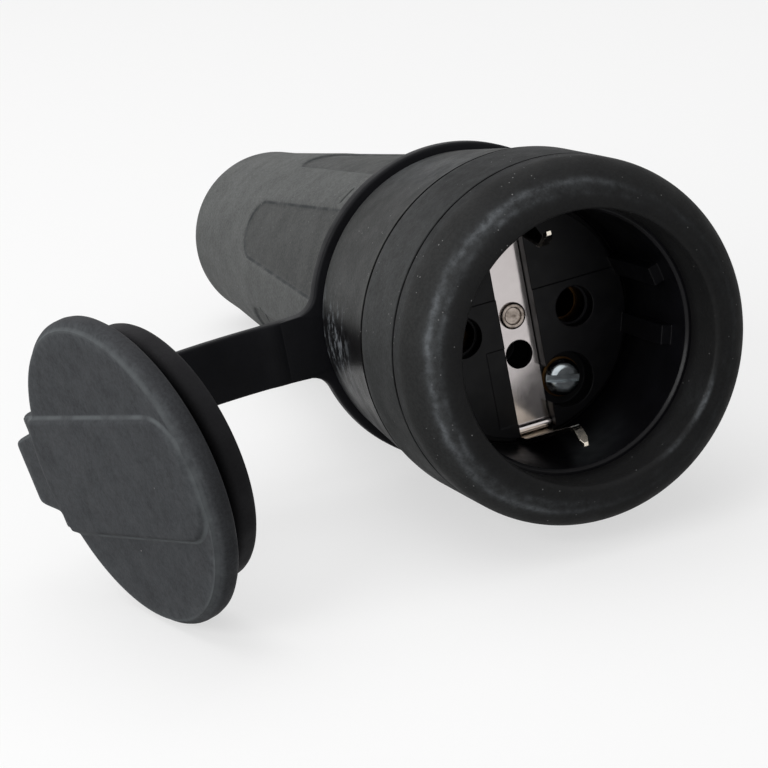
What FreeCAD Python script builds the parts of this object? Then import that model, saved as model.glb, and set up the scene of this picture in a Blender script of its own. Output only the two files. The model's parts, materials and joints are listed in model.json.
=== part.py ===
import FreeCAD, Part
import math
import os

# Rubber inline socket with a tethered sealing cap, in millimetres.
# Every piece is drawn in the socket's own frame: +Y runs from the front of the lip to the cable end,
# the two pins lie along X, and Z is across them. At the end the whole socket is laid down as it
# rests on a table: on its tether ring, the end of its handle and the rim of its cap.

V = FreeCAD.Vector

# Head of the rubber housing, depths counted from the front of the lip
head_radius = 27.1
mouth_step = 0.85
mouth_rounding = 0.8
band_one_end = 9.3
band_two_end = 21.9
band_three_end = 45.3
band_groove = 0.5
band_step = 0.25

# Handle and cable inlet
handle_step = 1.6
handle_rear_radius = 15.8
handle_rounding = 7.0
overall_length = 143.0
inlet_radius = 6.2
inlet_flare = 1.2
panel_count = 6
panel_azimuth = 148.0
panel_start = 49.5
panel_end = 102.0
panel_front_width = 16.0
panel_rear_width = 10.0
panel_corner = 4.4
panel_depth = 0.5

# Standard recess and contact insert
recess_radius = 19.15
recess_depth = 17.5
cup_front = 7.5
cup_wall = 1.75
cup_edge = 0.4
insert_step = 0.25
insert_fit = 0.1
front_half_length = 20.0
face_groove_width = 1.15
face_groove_depth = 2.0
face_step_height = 4.3
face_step_depth = 0.2
field_side = 6.2
field_top = -3.4
field_length = 12.1
lug_height = 1.7
lug_width = 3.0
lug_azimuth = 15.0
lug_top_depth = 12.0

# Contacts for 4.8 mm pins on 19 mm centres
pin_spacing = 19.0
pin_bore_radius = 2.45
contact_radius = 3.3
contact_length = 14.0
contact_clearance = 0.2
contact_slit = 0.7
contact_collar = 3.0
pin_hole_radius = 3.15
pin_hole_depth = 2.0
pin_guide_radius = 2.75
face_plate = 5.0
tail_thickness = 0.9
tail_width = 4.8
tail_slot_length = 6.0
tail_margin = 1.0

# Terminals
terminal_width = 8.0
terminal_length = 9.0
terminal_floor = 1.2
terminal_opening = 5.0
terminal_roof = 2.2
terminal_wall = 1.3
terminal_gap = 0.1
terminal_setback = 4.0
terminal_screw_radius = 1.6
terminal_screw_reach = 2.4
screw_fit = 0.05
screw_head_radius = 2.5
screw_head_height = 1.9
screw_slot = 0.8
screw_crown = 0.6
driver_radius = 2.9

# Earth strip, its springs and its rivet
strip_width = 6.0
strip_thickness = 0.8
strip_sink = 2.2
strip_bend_radius = 0.8
strip_edge_gap = 1.15
strip_bead_radius = 0.8
leg_length = 9.0
strip_fit = 0.1
spring_thickness = 0.6
spring_width = 5.0
spring_tip_width = 1.4
spring_tip_corner = 0.7
spring_bow = 4.3
spring_bow_height = 14.3
spring_tip_bow = 1.7
spring_tip_height = 17.0
rivet_height = 0.7
rivet_head_radius = 2.1
rivet_head_thickness = 0.5
rivet_radius = 1.5
rivet_cup_radius = 1.3
rivet_cup_depth = 0.45
rivet_length = 8.0
strip_hole_height = -5.5
strip_hole_radius = 2.25
strip_hole_depth = 6.0
earth_terminal_x = -1.2
earth_terminal_inset = 2.4
earth_tail_width = 3.6

# Screw that holds the two halves of the insert together
insert_screw_inset = 6.56
washer_gap = 0.15
insert_screw_radius = 1.9
insert_head_radius = 2.9
insert_head_height = 1.8
insert_head_crown = 1.3
insert_slot = 1.1
insert_screw_turn = 12.0
insert_recess_radius = 4.3
insert_recess_depth = 3.0
washer_radius = 3.15
washer_thickness = 0.4
nut_across_flats = 6.4
nut_height = 3.5
nut_sink = 0.5

# Cord clamp and cable seal
tray_width = 21.0
tray_thickness = 2.2
tray_length = 23.0
tray_top = -6.8
clamp_length = 9.0
clamp_gap = 2.4
clamp_height = 6.2
clamp_screw_spacing = 15.8
clamp_screw_radius = 1.5
cord_seat_radius = 4.8
cavity_step = 1.9
cavity_rear_radius = 12.6
seal_front = 104.0
seal_radius = 11.4
seal_bore = 5.0
seal_length = 8.8
seal_rib = 0.6

# Tether: neck ring, strap and the loop that holds the cap
ring_thickness = 2.4
ring_width = 3.9
ring_groove_depth = 2.6
ring_play = 0.3
ring_rounding = 0.4
neck_wall = 2.6
running_fit = 0.1
strap_width = 10.0
strap_thickness = 1.8
strap_root = 6.0
strap_fillet = 4.0
hinge_gap = 0.4
strap_straight = 2.5
strap_first_radius = 60.0
strap_first_turn = 25.0
strap_twist_length = 4.0
strap_second_radius = 8.8
loop_width = 2.5
loop_catch = 3.4
loop_play = 0.2

# Sealing cap, and the way that it faces in the socket's frame
cap_yaw = 14.1
cap_droop = 6.4
cap_turned = 7.5
cap_overhang = 3.6
cap_thickness = 3.7
cap_edge = 1.1
plug_fit = 0.5
plug_length = 3.6
plug_edge = 1.1
plug_wall = 4.0
plug_dish = 2.6
band_height = 0.8
band_half_width = 9.3
band_end_inset = 1.1
band_inset = 0.5
band_corner = 7.0
tab_length = 7.9
tab_tip_half_width = 5.0
tab_thickness = 1.85
tab_sink = 1.25
tab_corner = 0.9

# Sizes and depths that follow
mouth_radius = recess_radius + mouth_step
lip_crest_radius = mouth_radius + mouth_rounding
insert_radius = recess_radius - insert_step
face_radius = recess_radius - face_groove_width
strip_edge_radius = recess_radius - strip_edge_gap
spring_bow_radius = strip_edge_radius - spring_bow
spring_tip_radius = strip_edge_radius - spring_tip_bow
cavity_front_radius = insert_radius - cavity_step
face_depth = cup_front + recess_depth
split_depth = face_depth + front_half_length
lip_rounding = head_radius - lip_crest_radius
ring_seat = insert_radius + insert_fit + neck_wall
ring_bore = ring_seat + running_fit
neck_radius = ring_seat + ring_groove_depth
handle_front_radius = ring_seat + handle_step
ring_radius = ring_bore + ring_width
ring_front = band_three_end + ring_play
ring_middle = ring_front + ring_thickness / 2
groove_end = ring_front + ring_thickness + ring_play
handle_end_depth = overall_length - handle_rounding
strip_face = face_depth + strip_sink
strip_seat = strip_face + strip_thickness
recess_floor = face_depth + insert_recess_depth
insert_screw_x = strip_width / 2 + washer_gap + washer_radius
insert_screw_z = -math.sqrt((recess_radius - insert_screw_inset) ** 2 - insert_screw_x ** 2)
earth_terminal_floor = earth_terminal_inset - strip_edge_radius
tail_floor = -contact_radius - 0.1
terminal_front = split_depth + terminal_setback
terminal_middle = terminal_front + terminal_length / 2
nut_front = terminal_front + terminal_length
insert_end = nut_front + nut_height + nut_sink
hinge_x = -(ring_radius + strap_root)
plug_radius = mouth_radius - plug_fit
cap_radius = plug_radius + cap_overhang
band_end = cap_radius - band_end_inset
tab_reach = cap_radius + tab_length
loop_bore = plug_radius - loop_catch
loop_radius = loop_bore + loop_width
loop_middle = -(cap_thickness / 2 + loop_play + strap_thickness / 2)
cap_shoulder = -(cap_thickness / 2 + 2 * loop_play + strap_thickness)
strap_reach = plug_radius - 1.0

shapes = {}


def turned(points):
    """A solid of revolution about the Y axis. A point is (radius, depth); three numbers more
    make an arc: (radius, depth, mid radius, mid depth) runs from the point before it."""
    edges = []
    last = None
    for point in points + points[:1]:
        here = V(point[0], point[1], 0)
        if last is not None and len(point) == 4:
            middle = V(point[2], point[3], 0)
            edges.append(Part.Arc(last, middle, here).toShape())
        elif last is not None:
            edges.append(Part.makeLine(last, here))
        last = here
    face = Part.Face(Part.Wire(edges))
    return face.revolve(V(0, 0, 0), V(0, 1, 0), 360)


def tube(outer, inner, start, end):
    return turned([(inner, start), (outer, start), (outer, end), (inner, end)])


def rod(radius, start, end, x=0.0, z=0.0):
    """A round bar along Y."""
    return Part.makeCylinder(radius, end - start, V(x, start, z), V(0, 1, 0))


def upright(radius, low, high, x, y):
    """A round bar along Z."""
    return Part.makeCylinder(radius, high - low, V(x, y, low), V(0, 0, 1))


def block(x, y, z):
    """A box from three (low, high) pairs."""
    size = [pair[1] - pair[0] for pair in (x, y, z)]
    return Part.makeBox(size[0], size[1], size[2], V(x[0], y[0], z[0]))


def centred(middle, width):
    return (middle - width / 2, middle + width / 2)


def arc_middle(centre, radius, degrees):
    angle = math.radians(degrees)
    return (centre[0] + radius * math.cos(angle), centre[1] + radius * math.sin(angle))


def ribbon(start, heading, steps, thickness, width):
    """A flat strip that follows straight runs and turns in the XY plane, with its width along Z.
    A step is ("run", length) or ("turn", radius, degrees), where a left turn is positive."""
    x, y = start
    solids = []
    for step in steps:
        angle = math.radians(heading)
        if step[0] == "run":
            run = Part.makeBox(step[1], thickness, width, V(0, -thickness / 2, -width / 2))
            run.rotate(V(0, 0, 0), V(0, 0, 1), heading)
            run.translate(V(x, y, 0))
            x += step[1] * math.cos(angle)
            y += step[1] * math.sin(angle)
            solids.append(run)
        else:
            radius, degrees = step[1], step[2]
            side = 1 if degrees > 0 else -1
            centre = V(x - side * radius * math.sin(angle), y + side * radius * math.cos(angle), 0)
            first = heading - 90 if side > 0 else heading + 90 + degrees
            low = V(0, 0, -width / 2)
            up = V(0, 0, 1)
            bend = Part.makeCylinder(radius + thickness / 2, width, low, up, abs(degrees))
            bend = bend.cut(Part.makeCylinder(radius - thickness / 2, width, low, up))
            bend.rotate(V(0, 0, 0), V(0, 0, 1), first)
            bend.translate(centre)
            solids.append(bend)
            heading += degrees
            angle = math.radians(heading)
            x = centre.x + side * radius * math.sin(angle)
            y = centre.y - side * radius * math.cos(angle)
    joined = solids[0].multiFuse(solids[1:]).removeSplitter()
    return joined


def stood_up(shape):
    """Turns a ribbon of the XY plane so that its X runs along Z and its width along X."""
    shape.rotate(V(0, 0, 0), V(0, 1, 0), -90)
    return shape


def slotted_screw(head_radius, head_height, radius, length, crown_radius=screw_crown, slot_width=screw_slot):
    """A slotted screw along +Z, with the underside of its head at the origin and its shank below."""
    head = Part.makeCylinder(head_radius, head_height)
    crown = [edge for edge in head.Edges if edge.BoundBox.ZMin > head_height / 2]
    head = head.makeFillet(crown_radius, [e for e in crown if e.Closed])
    slot_heights = (head_height * 0.45, head_height + 1)
    slot = block(centred(0, 2 * head_radius + 1), centred(0, slot_width), slot_heights)
    shank = Part.makeCylinder(radius, length, V(0, 0, -length))
    return head.cut(slot).fuse(shank).removeSplitter()


def rounded_plate(points, corner, thickness):
    """A plate in the XY plane with its corners rounded by one radius, from 0 to thickness."""
    edges = [Part.makeLine(a, b) for a, b in zip(points, points[1:] + points[:1])]
    plate = Part.Face(Part.Wire(edges)).extrude(V(0, 0, thickness))
    upright_edges = [e for e in plate.Edges if abs(e.BoundBox.ZLength - thickness) < 1e-6]
    upright_edges = [e for e in upright_edges if e.BoundBox.XLength < 1e-6 and e.BoundBox.YLength < 1e-6]
    return plate.makeFillet(corner, upright_edges)


def handle_radius_at(depth):
    share = (depth - groove_end) / (handle_end_depth - groove_end)
    return handle_front_radius + share * (handle_rear_radius - handle_front_radius)


def handle_shell(depth):
    """The outermost skin of the handle, of the given thickness."""
    start, end = panel_start, panel_end
    outer_start, outer_end = handle_radius_at(start), handle_radius_at(end)
    return turned([
        (outer_start - depth, start),
        (outer_start + 1, start),
        (outer_end + 1, end),
        (outer_end - depth, end),
    ])


def grip_panel(azimuth):
    """A shallow rounded panel sunk into the handle on one side, open to the neck."""
    corners = [
        V(-panel_front_width / 2, panel_start, 0),
        V(panel_front_width / 2, panel_start, 0),
        V(panel_rear_width / 2, panel_end, 0),
        V(-panel_rear_width / 2, panel_end, 0),
    ]
    plate = rounded_plate(corners, panel_corner, handle_front_radius + 2)
    plate.rotate(V(0, 0, 0), V(0, 1, 0), 90 - azimuth)
    return plate


def make_housing():
    curve = (lip_crest_radius, lip_rounding)
    lip_mid = arc_middle(curve, lip_rounding, -45)
    lip_inner_mid = arc_middle((lip_crest_radius, mouth_rounding), mouth_rounding, -135)
    rear = (handle_rear_radius - handle_rounding, handle_end_depth)
    rear_mid = arc_middle(rear, handle_rounding, 45)
    seal_pocket = seal_radius + insert_fit
    outside = [
        (mouth_radius, cup_front),
        (mouth_radius, mouth_rounding),
        (lip_crest_radius, 0, *lip_inner_mid),
        (head_radius, lip_rounding, *lip_mid),
        (head_radius, band_one_end),
        (head_radius - band_groove, band_one_end + band_groove / 2),
        (head_radius, band_one_end + band_groove),
        (head_radius, band_two_end - band_groove),
        (head_radius - band_groove, band_two_end),
        (head_radius - band_step, band_two_end + band_groove),
        (neck_radius, band_three_end),
        (ring_seat, band_three_end),
        (ring_seat, groove_end),
        (handle_front_radius, groove_end),
        (handle_rear_radius, handle_end_depth),
        (rear[0], overall_length, *rear_mid),
    ]
    inside = [
        (inlet_radius + inlet_flare, overall_length),
        (inlet_radius, overall_length - inlet_flare),
        (inlet_radius, seal_front + seal_length + insert_fit),
        (seal_pocket, seal_front + seal_length + insert_fit),
        (seal_pocket, seal_front),
        (cavity_rear_radius, seal_front),
        (cavity_front_radius, insert_end + insert_fit),
        (insert_radius + insert_fit, insert_end + insert_fit),
        (insert_radius + insert_fit, face_depth + cup_wall),
        (recess_radius + cup_wall + insert_fit, face_depth + cup_wall),
        (recess_radius + cup_wall + insert_fit, cup_front),
    ]
    housing = turned(outside + inside)
    skin = handle_shell(panel_depth)
    for index in range(panel_count):
        azimuth = panel_azimuth + index * 360 / panel_count
        housing = housing.cut(grip_panel(azimuth).common(skin))
    shapes["rubber_housing"] = housing


def make_socket_front():
    cup_radius = recess_radius + cup_wall
    body = turned([
        (0, face_depth),
        (recess_radius, face_depth),
        (recess_radius, cup_front + cup_edge),
        (recess_radius + cup_edge, cup_front),
        (cup_radius, cup_front),
        (cup_radius, face_depth + cup_wall - insert_fit),
        (insert_radius, face_depth + cup_wall - insert_fit),
        (insert_radius, split_depth),
        (0, split_depth),
    ])
    body = body.cut(tube(recess_radius, face_radius, face_depth, face_depth + face_groove_depth))
    step_depths = (face_depth, face_depth + face_step_depth)
    upper = block((-face_radius, face_radius), step_depths, (face_step_height, face_radius))
    body = body.cut(upper.common(rod(face_radius, *step_depths)))
    body = body.cut(block((-field_side, 0), step_depths, (field_top - field_length, field_top)))
    lug = block(
        (recess_radius - lug_height, recess_radius + cup_wall / 2),
        (lug_top_depth, face_depth + cup_wall / 2),
        centred(0, lug_width),
    )
    for azimuth in (-lug_azimuth, lug_azimuth, 180 - lug_azimuth, 180 + lug_azimuth):
        placed = lug.copy()
        placed.rotate(V(0, 0, 0), V(0, 1, 0), -azimuth)
        body = body.fuse(placed)
    half_channel = strip_width / 2 + strip_fit
    channel = block((-half_channel, half_channel), (face_depth, strip_seat), (-recess_radius, recess_radius))
    body = body.cut(channel)
    leg_floor = strip_edge_radius - strip_thickness
    leg_end = strip_seat + leg_length + strip_fit
    for low, high in ((leg_floor, insert_radius + 1), (-insert_radius - 1, -leg_floor)):
        body = body.cut(block((-half_channel, half_channel), (face_depth, leg_end), (low, high)))
    for side in (-1, 1):
        edge = Part.makeBox(2 * half_channel, strip_bend_radius * 2, strip_bend_radius * 2)
        edge.translate(V(-half_channel, -strip_bend_radius, -strip_bend_radius))
        edge.rotate(V(0, 0, 0), V(1, 0, 0), 45)
        edge.translate(V(0, strip_seat, side * leg_floor))
        body = body.cut(edge)
    for x in (-pin_spacing / 2, pin_spacing / 2):
        body = body.cut(rod(pin_hole_radius, face_depth, face_depth + pin_hole_depth, x))
        body = body.cut(rod(pin_guide_radius, face_depth, split_depth, x))
        body = body.cut(rod(contact_radius + contact_clearance, face_depth + face_plate, split_depth, x))
        slot = block(
            centred(x, tail_width + 2 * contact_clearance),
            (split_depth - tail_slot_length, split_depth),
            (tail_floor - contact_clearance, 0),
        )
        body = body.cut(slot)
    body = body.cut(rod(rivet_radius + screw_fit, face_depth, split_depth, 0, rivet_height))
    rivet_flange = strip_face + rivet_length - rivet_head_thickness
    body = body.cut(rod(rivet_head_radius + 1, rivet_flange, split_depth, 0, rivet_height))
    body = body.cut(rod(strip_hole_radius, face_depth, strip_seat + strip_hole_depth, 0, strip_hole_height))
    body = body.cut(rod(insert_recess_radius, face_depth, recess_floor, insert_screw_x, insert_screw_z))
    body = body.cut(rod(insert_screw_radius + 0.1, recess_floor, split_depth, insert_screw_x, insert_screw_z))
    tail_slot = block(
        centred(earth_terminal_x, earth_tail_width + 2 * strip_fit),
        (strip_seat + leg_length - 1, split_depth),
        (-insert_radius - 1, earth_terminal_floor + strip_thickness + strip_fit),
    )
    shapes["socket_front"] = body.cut(tail_slot)


def pocket(x, floor):
    """The space that a terminal and its tail need in the rear half."""
    room = block(
        centred(x, terminal_width + 2 * terminal_gap),
        (terminal_front - terminal_gap, insert_end + 1),
        (floor - terminal_floor - terminal_gap, floor + terminal_opening + terminal_roof + terminal_gap),
    )
    driver = upright(driver_radius, floor + terminal_opening, insert_radius + 1, x, terminal_middle)
    return room.fuse(driver)


def make_socket_rear():
    body = rod(insert_radius, split_depth, insert_end)
    tray_bottom = tray_top - tray_thickness
    tray = block(
        centred(0, tray_width),
        (insert_end - 1, insert_end + tray_length),
        (tray_bottom, tray_top),
    )
    body = body.fuse(tray)
    for x in (-pin_spacing / 2, pin_spacing / 2):
        body = body.cut(pocket(x, tail_floor))
        passage = block(
            centred(x, tail_width + 2 * contact_clearance),
            (split_depth, terminal_front),
            (tail_floor - contact_clearance, tail_floor + tail_thickness + contact_clearance),
        )
        body = body.cut(passage)
    body = body.cut(pocket(earth_terminal_x, earth_terminal_floor))
    passage = block(
        centred(earth_terminal_x, earth_tail_width + 2 * strip_fit),
        (split_depth, terminal_front),
        (earth_terminal_floor - strip_fit, earth_terminal_floor + strip_thickness + strip_fit),
    )
    body = body.cut(passage)
    screw_hole = rod(insert_screw_radius + 0.1, split_depth, insert_end + 1, insert_screw_x, insert_screw_z)
    body = body.cut(screw_hole)
    body = body.cut(nut_prism(nut_across_flats + 0.2, nut_front, insert_end + 1))
    shapes["socket_rear"] = body


def nut_prism(across_flats, start, end):
    corner = across_flats / 2 / math.cos(math.radians(30))
    points = []
    for index in range(6):
        angle = math.radians(60 * index + 30)
        x = insert_screw_x + corner * math.cos(angle)
        points.append(V(x, start, insert_screw_z + corner * math.sin(angle)))
    return Part.Face(Part.makePolygon(points + points[:1])).extrude(V(0, end - start, 0))


def make_contacts():
    start = face_depth + face_plate + contact_clearance
    end = start + contact_length
    for name, x, side in (("contact_left", -pin_spacing / 2, 1), ("contact_right", pin_spacing / 2, -1)):
        sleeve = tube(contact_radius, pin_bore_radius, start, end)
        slit_depths = (start - 1, end - contact_collar)
        slit = block((0, contact_radius + 1), slit_depths, centred(0, contact_slit))
        if side < 0:
            slit = block((-contact_radius - 1, 0), slit_depths, centred(0, contact_slit))
        tail_end = terminal_front + terminal_length - tail_margin
        tail = block(centred(0, tail_width), (end - 2, tail_end), (tail_floor, tail_floor + tail_thickness))
        tail = tail.cut(rod(pin_bore_radius, start, end))
        contact = sleeve.cut(slit).fuse(tail)
        contact.translate(V(x, 0, 0))
        shapes[name] = contact.removeSplitter()


def make_terminal(name, x, floor):
    """A screw cage: the tail lies on its floor and the screw comes through its roof."""
    roof = floor + terminal_opening + terminal_roof
    depth = (terminal_front, terminal_front + terminal_length)
    cage = block(centred(x, terminal_width), depth, (floor - terminal_floor, roof))
    hole = block(centred(x, terminal_width - 2 * terminal_wall), depth, (floor, floor + terminal_opening))
    thread = upright(terminal_screw_radius + screw_fit, floor + 1, roof, x, terminal_middle)
    shapes[name] = cage.cut(hole).cut(thread)
    shank = terminal_roof + terminal_screw_reach
    screw = slotted_screw(screw_head_radius, screw_head_height, terminal_screw_radius, shank)
    screw.translate(V(x, terminal_middle, roof))
    return screw


def make_terminals():
    screws = [
        make_terminal("terminal_left", -pin_spacing / 2, tail_floor),
        make_terminal("terminal_right", pin_spacing / 2, tail_floor),
        make_terminal("earth_terminal", earth_terminal_x, earth_terminal_floor),
    ]
    shapes["terminal_screws"] = Part.makeCompound(screws)


def make_earth_strip():
    bend = strip_bend_radius + strip_thickness / 2
    leg_line = strip_edge_radius - strip_thickness / 2
    face_line = strip_face + strip_thickness / 2
    leg = leg_length - strip_bend_radius
    front = 2 * (leg_line - bend)
    steps = [("run", leg), ("turn", bend, -90), ("run", front), ("turn", bend, -90), ("run", leg)]
    start = (leg_line, face_line + bend + leg)
    strip = stood_up(ribbon(start, -90, steps, strip_thickness, strip_width))
    tail_line = earth_terminal_floor + strip_thickness / 2
    jog_radius = 1.5
    jog = math.radians(45)
    jog_run = (leg_line + tail_line - 2 * jog_radius * (1 - math.cos(jog))) / math.sin(jog)
    reach = 2 * jog_radius * math.sin(jog) + jog_run * math.cos(jog)
    last = terminal_front + terminal_length - tail_margin - (start[1] + reach)
    steps = [("run", 0.5), ("turn", jog_radius, -45), ("run", jog_run)]
    steps += [("turn", jog_radius, 45), ("run", last)]
    tail = ribbon((-leg_line, start[1] - 0.5), 90, steps, strip_thickness, earth_tail_width)
    tail = stood_up(tail)
    tail.translate(V(earth_terminal_x, 0, 0))
    strip = strip.fuse(tail)
    for side in (-1, 1):
        reach = side * (strip_edge_radius - strip_fit - strip_bead_radius)
        bead_place = V(-strip_width / 2, strip_seat - strip_bead_radius, reach)
        strip = strip.fuse(Part.makeCylinder(strip_bead_radius, strip_width, bead_place, V(1, 0, 0)))
    strip = strip.cut(rod(rivet_radius + screw_fit, strip_face - 1, strip_seat + 1, 0, rivet_height))
    strip = strip.cut(rod(strip_hole_radius, strip_face - 1, strip_seat + 1, 0, strip_hole_height))
    shapes["earth_strip"] = strip.removeSplitter()


def make_earth_springs():
    """Each clip stands at the wall, bows inwards and flares out again at its tip."""
    base_line = strip_edge_radius + spring_thickness / 2
    bulge = (spring_bow_radius + spring_thickness / 2, face_depth - spring_bow_height)
    lean_start = (base_line, face_depth - 0.5)
    lean = math.degrees(math.atan2(lean_start[0] - bulge[0], lean_start[1] - bulge[1]))
    tip = (spring_tip_radius, face_depth - spring_tip_height)
    flare = math.degrees(math.atan2(tip[0] - bulge[0], bulge[1] - tip[1]))
    soft, tight = 3.0, 1.2
    soft_cut = soft * math.tan(math.radians(lean / 2))
    tight_cut = tight * math.tan(math.radians((lean + flare) / 2))
    first = strip_seat + leg_length - lean_start[1] - soft_cut
    second = math.hypot(lean_start[0] - bulge[0], lean_start[1] - bulge[1]) - soft_cut - tight_cut
    third = math.hypot(tip[0] - bulge[0], tip[1] - bulge[1]) - tight_cut
    steps = [("run", first), ("turn", soft, -lean), ("run", second)]
    steps += [("turn", tight, lean + flare), ("run", third)]
    start = (base_line, strip_seat + leg_length)
    clip = stood_up(ribbon(start, -90, steps, spring_thickness, spring_width))
    half, tip_half = spring_width / 2, spring_tip_width / 2
    taper = [
        V(-half, strip_seat + leg_length + 1, 0),
        V(-half, face_depth - 2, 0),
        V(-tip_half, bulge[1] + 1, 0),
        V(-tip_half, tip[1] + spring_tip_corner, 0),
        V(-tip_half / 2, tip[1] + 0.1, 0),
        V(tip_half / 2, tip[1] + 0.1, 0),
        V(tip_half, tip[1] + spring_tip_corner, 0),
        V(tip_half, bulge[1] + 1, 0),
        V(half, face_depth - 2, 0),
        V(half, strip_seat + leg_length + 1, 0),
    ]
    clip = clip.common(Part.Face(Part.makePolygon(taper + taper[:1])).extrude(V(0, 0, recess_radius)))
    shapes["earth_spring_top"] = clip
    lower = clip.copy()
    lower.rotate(V(0, 0, 0), V(0, 1, 0), 180)
    shapes["earth_spring_bottom"] = lower


def make_rivet():
    front = strip_face - rivet_head_thickness
    end = strip_face + rivet_length
    rivet = turned([
        (0, front + rivet_cup_depth),
        (rivet_cup_radius, front + rivet_cup_depth),
        (rivet_cup_radius, front + 0.1),
        (rivet_cup_radius + 0.1, front),
        (rivet_head_radius - 0.3, front),
        (rivet_head_radius, front + 0.25),
        (rivet_head_radius, strip_face),
        (rivet_radius, strip_face),
        (rivet_radius, end - rivet_head_thickness),
        (rivet_head_radius, end - rivet_head_thickness),
        (rivet_head_radius, end),
        (0, end),
    ])
    rivet.translate(V(0, 0, rivet_height))
    shapes["strip_rivet"] = rivet


def make_insert_screw():
    seat = recess_floor - washer_thickness
    length = nut_front + nut_height - seat
    head = (insert_head_radius, insert_head_height)
    screw = slotted_screw(*head, insert_screw_radius, length, insert_head_crown, insert_slot)
    screw.rotate(V(0, 0, 0), V(1, 0, 0), 90)
    screw.rotate(V(0, 0, 0), V(0, 1, 0), insert_screw_turn)
    screw.translate(V(insert_screw_x, seat, insert_screw_z))
    shapes["insert_screw"] = screw
    washer = tube(washer_radius, insert_screw_radius + 0.1, seat, recess_floor)
    washer.translate(V(insert_screw_x, 0, insert_screw_z))
    shapes["insert_washer"] = washer
    nut = nut_prism(nut_across_flats, nut_front, nut_front + nut_height)
    bore = rod(insert_screw_radius + screw_fit, nut_front - 1, insert_end, insert_screw_x, insert_screw_z)
    shapes["insert_nut"] = nut.cut(bore)


def make_clamp():
    end = insert_end + tray_length - 0.5
    depth = (end - clamp_length, end)
    seat = rod(cord_seat_radius, depth[0] - 1, depth[1] + 1)
    base = block(centred(0, tray_width), depth, (tray_top, -clamp_gap / 2)).cut(seat)
    saddle = block(centred(0, tray_width), depth, (clamp_gap / 2, clamp_height)).cut(seat)
    middle = (depth[0] + depth[1]) / 2
    shank = clamp_height - tray_top - 0.3
    screws = []
    for x in (-clamp_screw_spacing / 2, clamp_screw_spacing / 2):
        base = base.cut(upright(clamp_screw_radius + screw_fit, tray_top, 0, x, middle))
        saddle = saddle.cut(upright(clamp_screw_radius + 0.2, 0, clamp_height, x, middle))
        screw = slotted_screw(screw_head_radius, screw_head_height, clamp_screw_radius, shank)
        screw.translate(V(x, middle, clamp_height))
        screws.append(screw)
    shapes["clamp_base"] = base
    shapes["clamp_saddle"] = saddle
    shapes["clamp_screws"] = Part.makeCompound(screws)


def make_cable_seal():
    end = seal_front + seal_length
    step = seal_length / 4
    points = [(seal_radius, seal_front), (seal_radius, end)]
    for index in range(4):
        points.append((seal_bore, end - index * step))
        points.append((seal_bore + seal_rib, end - (index + 0.5) * step))
    points.append((seal_bore, seal_front))
    shapes["cable_seal"] = turned(points)


def cap_axes():
    """Outward, forward and upward directions of the cap in the socket's frame."""
    yaw, droop = math.radians(cap_yaw), math.radians(cap_droop)
    outward = V(-math.cos(yaw) * math.cos(droop), -math.sin(yaw) * math.cos(droop), -math.sin(droop))
    forward = V(math.sin(yaw), -math.cos(yaw), 0)
    return outward, forward, outward.cross(forward)


def strap_turns():
    """How far the strap's two bends turn, in degrees."""
    return strap_first_turn, 90 + cap_yaw - strap_first_turn


def strap_points():
    """Where the strap starts, where its first bend ends and where its second bend starts."""
    first = math.radians(strap_turns()[0])
    start = V(hinge_x - hinge_gap / 2 - strap_thickness / 2, ring_middle, 0)
    bend_x = strap_straight + strap_first_radius * math.sin(first)
    bend_end = start - V(bend_x, strap_first_radius * (1 - math.cos(first)), 0)
    return start, bend_end, bend_end - V(math.cos(first), math.sin(first), 0) * strap_twist_length


def cap_centre():
    """The middle of the cap's disc, at the end of the strap's path."""
    outward, forward, up = cap_axes()
    second = math.radians(strap_turns()[1])
    along = strap_second_radius * math.sin(second) + strap_reach
    out = strap_second_radius * (1 - math.cos(second)) - loop_middle
    return strap_points()[2] + forward * along + outward * out


def on_cap(shape, turn=0.0):
    """Puts a shape drawn with its axis along +Z and its front along +X into the cap's place."""
    outward, forward, up = cap_axes()
    centre = cap_centre()
    shape.rotate(V(0, 0, 0), V(0, 0, 1), turn)
    matrix = FreeCAD.Matrix(
        forward.x, up.x, outward.x, centre.x,
        forward.y, up.y, outward.y, centre.y,
        forward.z, up.z, outward.z, centre.z,
        0, 0, 0, 1,
    )
    shape.transformShape(matrix)
    return shape


def lathe_on_z(points):
    """As turned(), for points of (radius, height) about the Z axis."""
    solid = turned(points)
    solid.rotate(V(0, 0, 0), V(1, 0, 0), 90)
    return solid


def make_tether_ring():
    """The neck ring, with the filleted root of the strap at its left side."""
    end = ring_front + ring_thickness
    ring = turned([
        (ring_bore, ring_front),
        (ring_radius - ring_rounding, ring_front),
        (ring_radius, ring_front + ring_rounding),
        (ring_radius, end - ring_rounding),
        (ring_radius - ring_rounding, end),
        (ring_bore, end),
    ])
    tip = hinge_x + hinge_gap / 2 + ring_thickness / 2
    half = strap_width / 2
    root = -ring_radius * 0.9
    depth = (ring_front, end)
    stub = block((tip, root), depth, (-half, half))
    nose = upright(ring_thickness / 2, -half, half, tip, ring_middle)
    corner_x = -math.sqrt((ring_radius + strap_fillet) ** 2 - (half + strap_fillet) ** 2)
    touch = corner_x * ring_radius / (ring_radius + strap_fillet)
    flare = block((corner_x, touch), depth, (-half - strap_fillet, half + strap_fillet))
    for side in (-1, 1):
        flare = flare.cut(rod(strap_fillet, depth[0], depth[1], corner_x, side * (half + strap_fillet)))
    reach = (half + strap_fillet) * ring_radius / (ring_radius + strap_fillet)
    flare = flare.common(block((corner_x, touch), depth, (-reach, reach)))
    bore = rod(ring_bore, depth[0], depth[1])
    ring = ring.fuse(stub.cut(bore)).fuse(nose).fuse(flare.cut(bore))
    shapes["tether_ring"] = ring.removeSplitter()


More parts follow.
